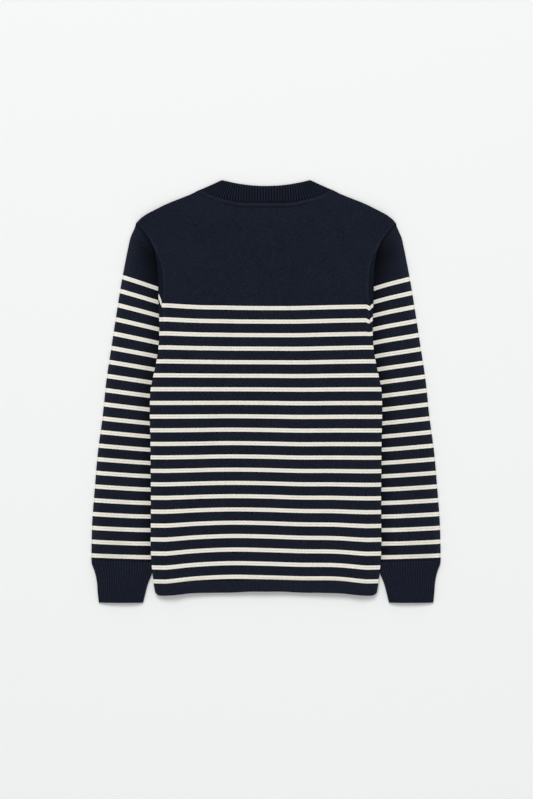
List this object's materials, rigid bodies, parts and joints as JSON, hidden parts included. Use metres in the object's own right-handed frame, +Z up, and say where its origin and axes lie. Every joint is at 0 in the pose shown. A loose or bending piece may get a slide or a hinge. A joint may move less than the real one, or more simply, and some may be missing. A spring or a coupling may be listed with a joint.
{
  "type": "breton sweater laid flat",
  "caption": "Striped crew-neck knit sweater lying face down and flat, with plain navy yoke, ribbed neckband, cuffs and hem.",
  "frame": {"origin": "on the surface it lies on, under the middle of the box round the garment", "axes": "+X towards the wearer's right sleeve, +Y towards the neck, +Z up out of the back of the garment"},
  "size_m": [0.5936, 0.7178, 0.0089],
  "materials": {
    "striped_knit": "fine cotton knit, navy with ecru stripes",
    "navy_rib": "ribbed cotton knit, navy"
  },
  "bodies": {
    "root": {"back": "striped_knit", "front": "striped_knit", "sleeve_left": "striped_knit", "sleeve_right": "striped_knit", "neckband": "navy_rib", "cuff_left": "navy_rib", "cuff_right": "navy_rib", "hem_back": "navy_rib", "hem_front": "navy_rib"}
  },
  "joints": []
}
